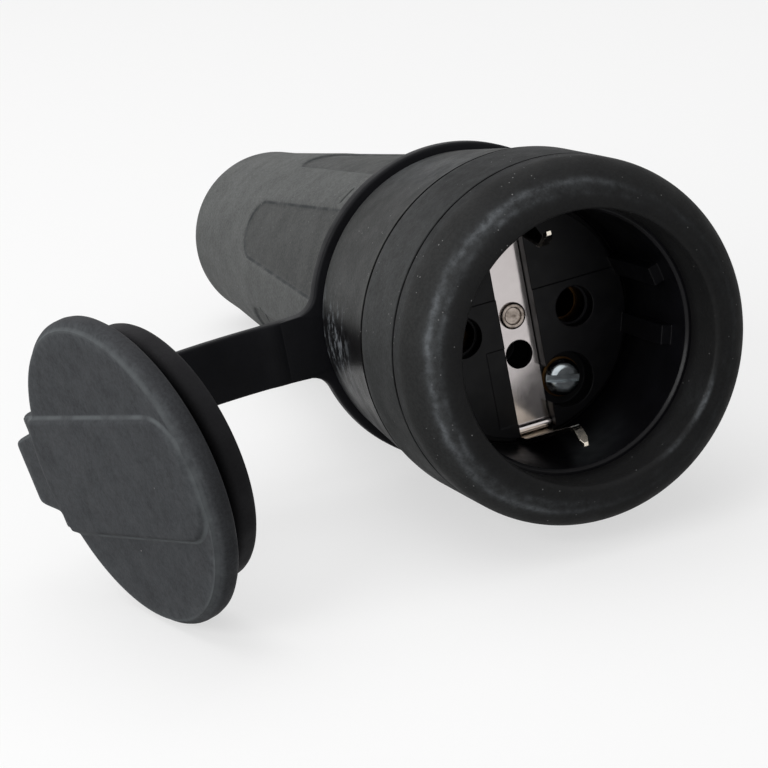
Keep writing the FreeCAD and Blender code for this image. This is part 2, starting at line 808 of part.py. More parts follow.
def section(centre, across, up):
    """The strap's rectangular outline at a point of its path."""
    side, height = across * (strap_thickness / 2), up * (strap_width / 2)
    corners = [centre - side - height, centre + side - height, centre + side + height, centre - side + height]
    return Part.makePolygon(corners + corners[:1])


def make_cap_strap():
    """The strap runs out from its root, twists to the cap's slant, curls forward and ends in a loop."""
    outward, forward, up = cap_axes()
    first_turn, second_turn = strap_turns()
    first, second = math.radians(first_turn), math.radians(second_turn)
    start, bend_end, bend_start = strap_points()
    steps = [("run", strap_straight), ("turn", strap_first_radius, first_turn)]
    strap = ribbon((start.x, start.y), 180, steps, strap_thickness, strap_width)
    nose = upright(strap_thickness / 2, -strap_width / 2, strap_width / 2, start.x, start.y)
    twist = Part.makeLoft([
        section(bend_end, V(-math.sin(first), math.cos(first), 0), V(0, 0, 1)),
        section(bend_start, outward * math.cos(second) - forward * math.sin(second), up),
    ], True, True)
    root = (loop_bore + loop_radius) / 2
    steps = [("run", strap_reach - root), ("turn", strap_second_radius, second_turn)]
    curl = ribbon((-root, loop_middle), 180, steps, strap_thickness, strap_width)
    curl.rotate(V(0, 0, 0), V(1, 0, 0), 90)
    curl = curl.cut(Part.makeCylinder(loop_bore, 2 * loop_radius, V(0, 0, -loop_radius)))
    loop = Part.makeCylinder(loop_radius, strap_thickness, V(0, 0, loop_middle - strap_thickness / 2))
    loop = loop.cut(Part.makeCylinder(loop_bore, 2 * loop_radius, V(0, 0, -loop_radius)))
    curl = on_cap(curl.fuse(loop).removeSplitter())
    shapes["cap_strap"] = strap.fuse(nose).fuse(twist).fuse(curl).removeSplitter()


def make_cap():
    """Disc with a raised band and a grip tab, a neck for the loop, and a short plug dished at its back."""
    half = cap_thickness / 2
    rim_line = cap_radius - cap_edge
    plug_line = plug_radius - plug_edge
    plug_end = cap_shoulder - plug_length
    neck = loop_bore - running_fit
    face_arc = arc_middle((rim_line, half - cap_edge), cap_edge, 45)
    back_arc = arc_middle((rim_line, cap_edge - half), cap_edge, -45)
    plug_face_arc = arc_middle((plug_line, cap_shoulder - plug_edge), plug_edge, 45)
    plug_back_arc = arc_middle((plug_line, plug_end + plug_edge), plug_edge, -45)
    body = lathe_on_z([
        (0, half),
        (rim_line, half),
        (cap_radius, half - cap_edge, *face_arc),
        (cap_radius, cap_edge - half),
        (rim_line, -half, *back_arc),
        (neck, -half),
        (neck, cap_shoulder),
        (plug_line, cap_shoulder),
        (plug_radius, cap_shoulder - plug_edge, *plug_face_arc),
        (plug_radius, plug_end + plug_edge),
        (plug_line, plug_end, *plug_back_arc),
        (plug_radius - plug_wall, plug_end),
        (plug_radius - plug_wall, plug_end + plug_dish),
        (0, plug_end + plug_dish),
    ])
    band_face = half + band_height
    band = rounded_plate([
        V(-cap_radius, -band_half_width, 0),
        V(band_end, -band_half_width, 0),
        V(band_end, band_half_width, 0),
        V(-cap_radius, band_half_width, 0),
    ], band_corner, band_face)
    band = band.fuse(block((-cap_radius, 0), (-band_half_width, band_half_width), (0, band_face)))
    band = band.common(Part.makeCylinder(cap_radius - band_inset, band_face))
    tab = rounded_plate([
        V(-tab_reach, -tab_tip_half_width, 0),
        V(-cap_radius - 2, -tab_tip_half_width - 1, 0),
        V(-rim_line + 2, -band_half_width, 0),
        V(-rim_line + 2, band_half_width, 0),
        V(-cap_radius - 2, tab_tip_half_width + 1, 0),
        V(-tab_reach, tab_tip_half_width, 0),
    ], tab_corner, tab_thickness)
    tab.translate(V(0, 0, -tab_sink))
    cap = body.fuse(band).fuse(tab)
    shapes["sealing_cap"] = on_cap(cap.removeSplitter(), cap_turned)


def rest_tilt():
    """How far the axis drops towards the handle, from the ring's rear edge to the handle's end."""
    run = handle_end_depth - (ring_front + ring_thickness)
    fall = ring_radius - handle_rear_radius + handle_rounding
    reach = math.hypot(run, fall)
    return math.acos(handle_rounding / reach) - math.atan2(run, fall)


def rest_roll(tilt):
    """How far the socket rolls until the cap's rim meets the table too."""
    normal = V(0, -math.sin(tilt), math.cos(tilt))
    table = normal.dot(V(0, ring_front + ring_thickness, -ring_radius))

    def cap_height(roll):
        spin = FreeCAD.Rotation(V(0, 1, 0), math.degrees(roll))
        centre = spin.multVec(cap_centre())
        lean = abs(normal.dot(spin.multVec(cap_axes()[0])))
        rim = (cap_radius - cap_edge) * math.sqrt(1 - lean ** 2) + (cap_thickness / 2 - cap_edge) * lean
        return normal.dot(centre) - rim - cap_edge - table

    low, high = math.radians(-20), math.radians(20)
    for _ in range(60):
        middle = (low + high) / 2
        if cap_height(middle) > 0:
            high = middle
        else:
            low = middle
    return (low + high) / 2, table


def lay_down():
    """Lays every piece on the table, with the origin on the table under the middle of the whole."""
    tilt = rest_tilt()
    roll, table = rest_roll(tilt)
    turn = FreeCAD.Rotation(V(1, 0, 0), -math.degrees(tilt)).multiply(
        FreeCAD.Rotation(V(0, 1, 0), math.degrees(roll)))
    placed = {}
    for name, shape in shapes.items():
        moved = shape.copy()
        moved.transformShape(FreeCAD.Placement(V(0, 0, -table), turn).toMatrix())
        placed[name] = moved
    box = Part.makeCompound(list(placed.values())).optimalBoundingBox(False)
    shift = V(-(box.XMin + box.XMax) / 2, -(box.YMin + box.YMax) / 2, 0)
    for shape in placed.values():
        shape.translate(shift)
    print("tilt", round(math.degrees(tilt), 3), "roll", round(math.degrees(roll), 3))
    size = (box.XLength, box.YLength, box.ZLength)
    print("lowest point", round(box.ZMin, 3), "size", [round(v, 2) for v in size])
    place = FreeCAD.Placement(V(0, 0, -table) + shift, turn)
    for label, point in (
        ("mouth centre", V(0, 0, 0)),
        ("pin bore left", V(-pin_spacing / 2, face_depth + face_plate + contact_clearance, 0)),
        ("pin bore right", V(pin_spacing / 2, face_depth + face_plate + contact_clearance, 0)),
        ("inlet", V(0, overall_length - inlet_flare, 0)),
        ("strap hinge", V(hinge_x, ring_middle, 0)),
        ("ring centre", V(0, ring_middle, 0)),
        ("cap centre", cap_centre()),
    ):
        at = place.multVec(point)
        print(label, [round(v, 4) for v in (at.x, at.y, at.z)])
    axes = {"across": V(1, 0, 0), "depth": V(0, 1, 0), "up": V(0, 0, 1), "cap out": cap_axes()[0]}
    for label, axis in axes.items():
        way = turn.multVec(axis)
        print(label, [round(v, 6) for v in (way.x, way.y, way.z)])
    return placed


def build():
    make_housing()
    make_socket_front()
    make_socket_rear()
    make_contacts()
    make_terminals()
    make_earth_strip()
    make_earth_springs()
    make_rivet()
    make_insert_screw()
    make_clamp()
    make_cable_seal()
    make_tether_ring()
    make_cap_strap()
    make_cap()
    os.makedirs("parts", exist_ok=True)
    for name, shape in lay_down().items():
        shape.exportStep("parts/" + name + ".step")


build()
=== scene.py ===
import bpy
import bmesh
import json
import math
from mathutils import Matrix, Vector

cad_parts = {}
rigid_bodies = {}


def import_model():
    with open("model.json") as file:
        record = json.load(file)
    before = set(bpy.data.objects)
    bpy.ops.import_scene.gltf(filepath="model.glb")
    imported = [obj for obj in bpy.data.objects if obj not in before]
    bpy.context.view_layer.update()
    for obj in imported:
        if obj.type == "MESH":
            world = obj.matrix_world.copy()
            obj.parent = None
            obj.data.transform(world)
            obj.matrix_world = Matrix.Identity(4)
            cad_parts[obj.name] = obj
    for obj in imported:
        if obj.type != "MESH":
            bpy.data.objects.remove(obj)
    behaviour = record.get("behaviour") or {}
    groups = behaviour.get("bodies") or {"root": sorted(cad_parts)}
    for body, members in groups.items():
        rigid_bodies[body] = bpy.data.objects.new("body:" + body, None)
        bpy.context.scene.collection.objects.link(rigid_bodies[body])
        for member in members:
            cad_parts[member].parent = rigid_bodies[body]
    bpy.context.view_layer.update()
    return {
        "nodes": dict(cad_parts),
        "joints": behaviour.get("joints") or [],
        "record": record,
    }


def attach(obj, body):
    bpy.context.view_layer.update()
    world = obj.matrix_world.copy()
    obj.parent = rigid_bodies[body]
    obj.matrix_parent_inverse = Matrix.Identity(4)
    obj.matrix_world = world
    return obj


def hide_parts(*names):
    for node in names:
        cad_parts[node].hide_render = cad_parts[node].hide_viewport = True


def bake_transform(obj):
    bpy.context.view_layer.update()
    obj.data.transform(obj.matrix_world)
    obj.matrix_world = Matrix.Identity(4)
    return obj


for leftover in list(bpy.data.objects):
    bpy.data.objects.remove(leftover)
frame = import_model()
mm = 0.001
sharpAngle = 38  # degrees between two faces, beyond which their edge stays crisp
farOff = 9.0  # mm, painted where no edge or line is near

# The socket's own frame in mm: x runs from pin to pin, y from the lip towards the cable, z across both
joints = {joint["name"]: joint for joint in frame["joints"]}
neckJoint, bendJoint, capJoint = joints["tether_turn"], joints["strap_bend"], joints["cap_turn"]
ringDepth = 46.8  # from the front of the lip to the middle of the tether ring
axisBack = Vector(neckJoint["axis"]).normalized()
axisUp = Vector(bendJoint["axis"]).normalized()
axisRight = axisBack.cross(axisUp)
neckPoint = Vector(neckJoint["pos_m"])


def place(x, y, z):
    return neckPoint + (axisRight * x + axisBack * (y - ringDepth) + axisUp * z) * mm


def direction(x, y, z):
    return (axisRight * x + axisBack * y + axisUp * z).normalized()


def turnedPlace(radius, depth, degrees):  # degrees are counted from +x towards +z
    angle = math.radians(degrees)
    return place(radius * math.cos(angle), depth, radius * math.sin(angle))


# The cap's frame in mm: a runs forward on its disc, b up, h outward
capOut = Vector(capJoint["axis"]).normalized()
capForward = axisUp.cross(capOut).normalized()
capUp = capOut.cross(capForward)
capCentre = Vector(capJoint["pos_m"])


def capPlace(a, b, h, degrees=0.0):
    angle = math.radians(degrees)
    across = capForward * math.cos(angle) + capUp * math.sin(angle)
    upward = capUp * math.cos(angle) - capForward * math.sin(angle)
    return capCentre + (across * a + upward * b + capOut * h) * mm


# Small helpers for outlines and grids
def smooth(value, low, high):
    t = min(max((value - low) / (high - low), 0.0), 1.0)
    return t * t * (3 - 2 * t)


def turnBetween(degrees, other):
    return (degrees - other + 180) % 360 - 180


def arc(centreX, centreY, radius, start, end, steps):
    points = []
    for step in range(steps + 1):
        angle = math.radians(start + (end - start) * step / steps)
        points.append((centreX + radius * math.cos(angle), centreY + radius * math.sin(angle)))
    return points


def line(start, end, steps):
    points = []
    for step in range(steps + 1):
        t = step / steps
        points.append((start[0] + (end[0] - start[0]) * t, start[1] + (end[1] - start[1]) * t))
    return points


def joined(*stretches):  # stretches of an outline, with doubled points dropped
    points = []
    for stretch in stretches:
        for point in stretch:
            if not points or math.dist(points[-1], point) > 1e-4:
                points.append(point)
    return points


def roundedBox(low, high, thickLow, thickHigh, rounding, steps):
    return joined(
        arc(high - rounding, thickHigh - rounding, rounding, 0, 90, steps),
        arc(low + rounding, thickHigh - rounding, rounding, 90, 180, steps),
        arc(low + rounding, thickLow + rounding, rounding, 180, 270, steps),
        arc(high - rounding, thickLow + rounding, rounding, 270, 360, steps),
    )[:-1]


def insideRounded(overX, overY, corner):  # how far inside an outline with rounded corners
    outsideCorner = math.hypot(max(overX, 0.0), max(overY, 0.0))
    return corner - outsideCorner - min(max(overX, overY), 0.0)


def gridFaces(rows, columns, rowsClose, columnsClose, first=0):
    faces = []
    for row in range(rows if rowsClose else rows - 1):
        below = first + row * columns
        above = first + (row + 1) % rows * columns
        for column in range(columns if columnsClose else columns - 1):
            side = (column + 1) % columns
            faces.append((below + column, below + side, above + side, above + column))
    return faces


def makePiece(name, points, faces, paint):
    mesh = bpy.data.meshes.new(name)
    mesh.from_pydata(points, [], faces)
    mesh.validate()
    for label, values in paint.items():
        layer = mesh.attributes.new(label, "FLOAT", "POINT")
        layer.data.foreach_set("value", values)
    mesh.shade_smooth()
    mesh.set_sharp_from_angle(angle=math.radians(sharpAngle))
    body = bmesh.new()
    body.from_mesh(mesh)
    bmesh.ops.recalc_face_normals(body, faces=body.faces)
    body.to_mesh(mesh)
    body.free()
    piece = bpy.data.objects.new(name, mesh)
    bpy.context.scene.collection.objects.link(piece)
    return piece


# Node helpers
class Finish:
    def __init__(self, name):
        self.material = bpy.data.materials.new(name)
        self.material.use_nodes = True
        self.tree = self.material.node_tree
        self.tree.nodes.clear()
        self.output = self.tree.nodes.new("ShaderNodeOutputMaterial")
        self.shader = self.tree.nodes.new("ShaderNodeBsdfPrincipled")
        self.tree.links.new(self.shader.outputs[0], self.output.inputs[0])
        self.place = self.tree.nodes.new("ShaderNodeTexCoord").outputs["Object"]

    def feed(self, socket, value):
        if isinstance(value, bpy.types.NodeSocket):
            self.tree.links.new(value, socket)
        else:
            socket.default_value = value

    def set(self, **values):
        for name, value in values.items():
            self.feed(self.shader.inputs[name.replace("_", " ")], value)

    def stretched(self, x, y, z):
        node = self.tree.nodes.new("ShaderNodeMapping")
        self.feed(node.inputs["Vector"], self.place)
        node.inputs["Scale"].default_value = (x, y, z)
        return node.outputs[0]

    def noise(self, scale, detail=2.0, roughness=0.5, where=None, distortion=0.0):
        node = self.tree.nodes.new("ShaderNodeTexNoise")
        self.feed(node.inputs["Vector"], where or self.place)
        node.inputs["Scale"].default_value = scale
        node.inputs["Detail"].default_value = detail
        node.inputs["Roughness"].default_value = roughness
        node.inputs["Distortion"].default_value = distortion
        return node.outputs[0]

    def band(self, value, low, high, toLow=0.0, toHigh=1.0):
        node = self.tree.nodes.new("ShaderNodeMapRange")
        node.interpolation_type = "SMOOTHSTEP"
        self.feed(node.inputs["Value"], value)
        for socket, number in zip(node.inputs[1:5], (low, high, toLow, toHigh)):
            socket.default_value = number
        return node.outputs[0]

    def maths(self, kind, first, second):
        node = self.tree.nodes.new("ShaderNodeMath")
        node.operation = kind
        self.feed(node.inputs[0], first)
        self.feed(node.inputs[1], second)
        return node.outputs[0]

    def times(self, first, second):
        return self.maths("MULTIPLY", first, second)

    def specks(self, scale, share, small, large):  # round specks, in that share of the cells
        node = self.tree.nodes.new("ShaderNodeTexVoronoi")
        self.feed(node.inputs["Vector"], self.place)
        node.inputs["Scale"].default_value = scale
        rare = self.band(node.outputs["Color"], 1.0 - share, 1.001 - share)
        return self.times(self.band(node.outputs["Distance"], small, large, 1.0, 0.0), rare)

    def blend(self, share, first, second):
        node = self.tree.nodes.new("ShaderNodeMix")
        node.data_type = "RGBA"
        self.feed(node.inputs["Factor"], share)
        self.feed(node.inputs[6], first)
        self.feed(node.inputs[7], second)
        return node.outputs[2]

    def painted(self, label):
        node = self.tree.nodes.new("ShaderNodeAttribute")
        node.attribute_name = label
        return node.outputs["Fac"]

    def relief(self, height, strength, distance, below=None):
        node = self.tree.nodes.new("ShaderNodeBump")
        self.feed(node.inputs["Height"], height)
        node.inputs["Strength"].default_value = strength
        node.inputs["Distance"].default_value = distance
        if below is not None:
            self.feed(node.inputs["Normal"], below)
        return node.outputs[0]

    def softEdges(self, radius):
        node = self.tree.nodes.new("ShaderNodeBevel")
        node.samples = 6
        node.inputs["Radius"].default_value = radius
        return node.outputs[0]


def grey(level, tint=(1.0, 1.0, 1.0)):
    return (level * tint[0], level * tint[1], level * tint[2], 1.0)


# The finishes: what a family shares stands first, and a finish's own look may say otherwise
rubberLook = {
    "dustAndLight": grey(0.10), "speck": grey(0.30), "scuffAndSheen": grey(0.14),
    "roughness": 0.6, "specular": 0.2, "grain": 0.2,
    "specks": 0.02, "speckScale": 1500.0, "speckStrength": 0.8, "cloudScale": 150.0,
    "mottleScale": 60.0, "powderScale": 190.0, "fineScale": 2100.0, "streakScale": 640.0,
    "scratchScale": 420.0, "patchScale": 260.0, "grainScale": 2600.0, "waveScale": 70.0,
    "waves": 0.2, "polish": 0.3,
    "edgeTint": grey(0.02), "edgeWidth": 0.3, "edgeShare": 0.0, "edgeFaint": 0.5,
    "lineTint": grey(0.004), "lineWidth": 0.35, "lineShare": 0.0,
}
metalLook = {
    "pits": 0.045, "pitScale": 700.0, "pitStrength": 0.8, "smearScale": 600.0, "scratchScale": 900.0,
}
plasticLook = {
    "mottleScale": 180.0, "lint": 0.015, "lintScale": 1400.0, "lintStrength": 0.35, "lintTint": grey(0.12),
    "smearScale": 500.0, "grainScale": 3200.0,
}


def rubberFinish(name, ownLook):
    look = rubberLook | ownLook
    finish = Finish(name)
    mottle = finish.band(finish.noise(look["mottleScale"], 5.0, 0.6), 0.35, 0.68)
    base = finish.blend(mottle, look["dark"], look["light"])
    # the dust colour, which on the housing's head also paints light: more towards the left, and on the rear
    # band's top
    dustAndLightMask = finish.band(finish.noise(look["powderScale"], 5.0, 0.6), 0.2, 0.7, 0.78, 1.0)
    fine = finish.band(finish.noise(look["fineScale"], 3.0, 0.7), 0.32, 0.68, 0.66, 1.0)
    dustAndLightMask = finish.times(finish.painted("dustAndLight"), finish.times(dustAndLightMask, fine))
    base = finish.blend(dustAndLightMask, base, look["dustAndLight"])
    specks = finish.specks(look["speckScale"], look["specks"], 0.08, 0.2)
    clouds = finish.band(finish.noise(look["cloudScale"], 2.0), 0.38, 0.62)
    specks = finish.times(finish.times(specks, clouds), look["speckStrength"])
    base = finish.blend(specks, base, look["speck"])
    # wear streaks in the scuff colour; at the mouth's edge they are painted highlights
    streaks = finish.band(finish.noise(look["streakScale"], 6.0, 0.7), 0.3, 0.72, 0.15, 1.0)
    base = finish.blend(finish.times(streaks, finish.painted("wearAndSheen")), base, look["scuffAndSheen"])
    slanted = finish.stretched(1.0, 0.8, 0.45)
    scratches = finish.noise(look["scratchScale"], 8.0, 0.78, where=slanted, distortion=0.3)
    scratches = finish.times(finish.band(scratches, 0.5, 0.57), finish.painted("marks"))
    base = finish.blend(scratches, base, look["scuffAndSheen"])
    patches = finish.noise(look["patchScale"], 4.0)
    uneven = finish.band(patches, 0.3, 0.62, look["edgeFaint"], 1.0)
    # painted shade: on the housing a dark line along each panel's seam; on the cap a pale line around the
    # raised band
    outline = finish.maths("ABSOLUTE", finish.painted("edge"), 0.0)
    outline = finish.band(outline, 0.08, look["edgeWidth"], look["edgeShare"], 0.0)
    base = finish.blend(finish.times(outline, uneven), base, look["edgeTint"])
    # painted shade: a near black line in the housing's grooves and slits; on the cap, a pale painted
    # highlight along the rim
    lineShadeAndHighlight = finish.band(finish.painted("line"), 0.1, look["lineWidth"], look["lineShare"], 0.0)
    base = finish.blend(finish.times(lineShadeAndHighlight, uneven), base, look["lineTint"])
    rough = finish.band(patches, 0.3, 0.7, look["roughness"] - 0.06, look["roughness"] + 0.06)
    rough = finish.maths("SUBTRACT", rough, finish.times(finish.painted("gloss"), look["polish"]))
    grain = finish.relief(finish.noise(look["grainScale"], 3.0, 0.6), look["grain"], 0.00012)
    waves = finish.relief(finish.noise(look["waveScale"], 3.0), look["waves"], 0.0005, grain)
    finish.set(Base_Color=base, Roughness=rough, Normal=waves)
    finish.shader.inputs["Specular IOR Level"].default_value = look["specular"]
    return finish.material


def metalFinish(name, ownLook):
    look = metalLook | ownLook
    finish = Finish(name)
    stain = finish.band(finish.noise(look["stainScale"], 4.0, 0.6), 0.4, 0.72)
    base = finish.blend(stain, look["bright"], look["stained"])
    pits = finish.times(finish.specks(look["pitScale"], look["pits"], 0.06, 0.16), look["pitStrength"])
    base = finish.blend(pits, base, look["pit"])
    smears = finish.noise(look["smearScale"], 3.0)
    rough = finish.band(smears, 0.3, 0.7, look["roughness"], look["roughness"] + 0.06)
    scratches = finish.noise(look["scratchScale"], 4.0, 0.7, where=finish.stretched(1.0, 0.12, 0.5))
    normal = finish.relief(scratches, look["scratch"], 0.00001, finish.softEdges(look["edge"]))
    finish.set(Base_Color=base, Roughness=rough, Normal=normal)
    finish.shader.inputs["Metallic"].default_value = 1.0
    return finish.material


def plasticFinish(name, ownLook):
    look = plasticLook | ownLook
    finish = Finish(name)
    mottle = finish.band(finish.noise(look["mottleScale"], 4.0), 0.35, 0.7)
    base = finish.blend(mottle, look["dark"], look["light"])
    lint = finish.times(finish.specks(look["lintScale"], look["lint"], 0.05, 0.14), look["lintStrength"])
    base = finish.blend(lint, base, look["lintTint"])
    smears = finish.noise(look["smearScale"], 4.0)
    rough = finish.band(smears, 0.3, 0.7, look["roughness"], look["roughness"] + 0.1)
    grain = finish.noise(look["grainScale"], 2.0)
    grain = finish.relief(grain, look["grain"], 0.00005, finish.softEdges(look["edge"]))
    finish.set(Base_Color=base, Roughness=rough, Normal=grain)
    finish.shader.inputs["Specular IOR Level"].default_value = look["specular"]
    return finish.material


looks = {
    "housing_rubber": (rubberFinish, {
        "dark": grey(0.006, (1.0, 0.98, 1.03)), "light": grey(0.011, (1.0, 0.98, 1.03)),
        # the dust colour also paints light on the head: more to the left, and on the rear band's top
        "dustAndLight": grey(0.150, (0.97, 1.0, 0.985)), "scuffAndSheen": grey(0.20, (0.92, 0.99, 1.06)),
        "mottleScale": 38.0, "specks": 0.2, "roughness": 0.66, "grain": 0.35, "specular": 0.05,
        # painted shade: a dark line along each panel's seam
        "edgeTint": grey(0.035, (0.92, 1.0, 1.08)), "edgeShare": 0.8, "edgeWidth": 0.34, "edgeFaint": 0.25,
        # painted shade: the near black line colour fills the band grooves and slits
        "lineShare": 1.0, "lineWidth": 0.48,
    }),
    "cap_rubber": (rubberFinish, {
        "dark": grey(0.008, (1.05, 0.96, 1.08)), "light": grey(0.013, (1.05, 0.96, 1.08)),
        "dustAndLight": grey(0.058, (0.95, 1.0, 1.08)), "speck": grey(0.34), "scuffAndSheen": grey(0.12, (0.92, 1.0, 1.05)),
        "mottleScale": 55.0, "speckScale": 1300.0, "specks": 0.04, "roughness": 0.7, "grain": 0.3,
        "specular": 0.09, "edgeTint": grey(0.13, (0.92, 1.0, 1.04)), "edgeShare": 0.8, "edgeWidth": 0.4,
        # painted highlight: the pale line colour runs along the rim, where the face turns over its edge
        "edgeFaint": 0.25, "lineTint": grey(0.12, (0.92, 1.0, 1.04)), "lineShare": 0.6, "lineWidth": 0.5,
    }),
    "tether_rubber": (rubberFinish, {
        "dark": grey(0.005, (1.0, 1.02, 1.25)), "light": grey(0.008, (1.0, 1.02, 1.25)), "specks": 0.01,
        "roughness": 0.5, "specular": 0.1,
    }),
    "seal_rubber": (rubberFinish, {"dark": grey(0.014), "light": grey(0.02), "dustAndLight": grey(0.05)}),
    "insert_plastic": (plasticFinish, {
        "dark": grey(0.0026, (1.0, 0.98, 1.3)), "light": grey(0.0046, (1.0, 0.98, 1.3)), "roughness": 0.3,
        "grain": 0.12, "edge": 0.00025, "specular": 0.16,
    }),
    "clamp_plastic": (plasticFinish, {
        "dark": grey(0.012), "light": grey(0.02), "roughness": 0.45, "grain": 0.2, "edge": 0.0003,
        "specular": 0.4,
    }),
    "strip_nickel": (metalFinish, {
        "bright": grey(0.60, (1.0, 0.93, 0.92)), "stained": grey(0.56, (1.0, 0.925, 0.915)),
        "pit": grey(0.12), "stainScale": 130.0, "roughness": 0.16, "scratch": 0.1, "edge": 0.00012,
    }),
    "rivet_steel": (metalFinish, {
        "bright": grey(0.42, (1.0, 0.86, 0.76)), "stained": grey(0.14, (1.0, 0.80, 0.66)),
        "pit": grey(0.05), "stainScale": 900.0, "roughness": 0.22, "scratch": 0.5, "edge": 0.0002,
    }),
    "spring_brass": (metalFinish, {
        "bright": grey(0.90, (1.0, 0.93, 0.82)), "stained": grey(0.76, (1.0, 0.90, 0.76)),
        "pit": grey(0.2), "stainScale": 300.0, "roughness": 0.18, "scratch": 0.2, "edge": 0.0001,
    }),
    # painted shade: the contact brass is darkened far below real brass, so the pins stay dark in their deep
    # holes
    "contact_brass": (metalFinish, {
        "bright": grey(0.07, (1.0, 0.52, 0.18)), "stained": grey(0.035, (1.0, 0.5, 0.18)),
        "pit": grey(0.02), "stainScale": 300.0, "roughness": 0.35, "scratch": 0.2, "edge": 0.0001,
    }),
    "terminal_brass": (metalFinish, {
        "bright": grey(0.66, (1.0, 0.78, 0.42)), "stained": grey(0.5, (1.0, 0.72, 0.36)),
        "pit": grey(0.15), "stainScale": 300.0, "roughness": 0.32, "scratch": 0.3, "edge": 0.00015,
    }),
    "screw_zinc": (metalFinish, {
        "bright": grey(0.62, (0.91, 1.0, 1.05)), "stained": grey(0.34, (0.91, 1.0, 1.06)),
        "pit": grey(0.2), "stainScale": 500.0, "roughness": 0.2, "scratch": 0.35, "edge": 0.00012,
    }),
}
finishes = {slot: makeFinish(slot.replace("_", " "), look) for slot, (makeFinish, look) in looks.items()}


def coat(thing, slotName):
    thing.data.materials.clear()
    thing.data.materials.append(finishes[slotName])


def dress(piece, slotName):
    coat(piece, slotName)


slotOfNode = {part["node"]: part["material_slot"] for part in frame["record"]["subparts"]}
for nodeName, nodeObject in frame["nodes"].items():
    coat(nodeObject, slotOfNode[nodeName])
print("finishes made:", len(finishes))


# The rubber housing: one turned body with bands, a grip with sunk panels, and the cable inlet
housing = {
    "headRadius": 27.1, "lipCrest": 20.8, "lipRounding": 6.3, "mouthRadius": 20.0, "mouthRounding": 0.8,
    "grooveOne": 9.3, "grooveTwo": 21.9, "grooveDepth": 0.75, "bandEnd": 45.3, "bandEndRadius": 24.4,
    "neckEnd": 48.3, "neckRadius": 21.6,
    "gripRadii": [(48.3, 23.2), (60.0, 22.5), (85.0, 20.2), (110.0, 17.9), (128.0, 16.3), (136.0, 15.8)],
    "gripEnd": 136.0, "endRounding": 7.0, "length": 143.0, "inletRadius": 6.2, "inletFlare": 1.2,
    "inletStart": 113.0, "hollow": [
        (11.5, 113.0), (11.5, 104.0), (12.6, 104.0), (17.0, 62.2), (19.0, 62.1),
        (19.0, 26.75), (21.0, 26.65), (21.0, 17.0), (21.0, 7.6),
    ],  # radius and depth of the inside, from the inlet to the mouth
    "panels": 6, "panelAzimuth": 148.0, "panelStart": 49.5, "panelEnd": 102.0, "panelFront": 16.0,
    "panelRear": 10.0, "panelCorner": 4.4, "panelDepth": 0.5, "seamDepth": 0.2, "seamWidth": 0.35,
    "slits": [(121.5, 57.6), (193.0, 92.6), (301.5, 57.6), (13.0, 92.6)],  # azimuth and depth
    "slitHalfLength": 1.3, "slitHalfWidth": 0.32, "slitDepth": 0.8,
    "glossFrom": 166.0, "glossTo": 335.0, "columns": 360,
    # painted light: rearDustAndSheen lightens the rear band's top, not its glossy underside
    "gripDust": 0.86, "panelClean": 0.3, "endDust": 0.1, "rearDustAndSheen": 0.42, "scratches": 1.2,
    "middleDustAndLeftLight": (0.10, 0.25), "frontDustAndLeftLight": (0.04, 0.21),  # dust at the right, and painted light added towards the left
    "lipDustAndLeftLight": (0.10, 0.11),
    "bandWear": 0.08, "wearRadius": 23.0, "mouthGloss": 0.8,
}


def gripRadius(depth):
    knots = housing["gripRadii"]
    for (startDepth, startRadius), (endDepth, endRadius) in zip(knots, knots[1:]):
        if depth <= endDepth:
            share = (depth - startDepth) / (endDepth - startDepth)
            return startRadius + (endRadius - startRadius) * share
    return knots[-1][1]


def bandGroove(edge, radius):  # a narrow groove between two bands, with a point on its very bottom
    deep = housing["grooveDepth"]
    side = [(0.35, 0.0), (0.22, 0.06), (0.13, deep * 0.85)]  # distance from the middle, and depth there
    front = [(radius - dip, edge - away) for away, dip in side]
    rear = [(radius - dip, edge + away) for away, dip in reversed(side)]
    return front + [(radius - deep, edge)] + rear


def gripOutline():  # rows along the grip, close together at the panels and closer still across a slit
    h = housing
    slitDepths = sorted({depth for _, depth in h["slits"]})
    rows = []
    depth = h["neckEnd"] + 0.5
    while depth < h["gripEnd"]:
        nearSlit = [slit for slit in slitDepths if abs(depth - slit) < 0.5]
        if nearSlit:
            for offset in (-0.45, -0.25, -0.12, 0.0, 0.12, 0.25, 0.45):
                rows.append((gripRadius(nearSlit[0] + offset), nearSlit[0] + offset))
            depth = nearSlit[0] + 0.5
        rows.append((gripRadius(depth), depth))
        depth += 0.5 if depth < h["panelEnd"] + 1.5 else 2.0
    return rows


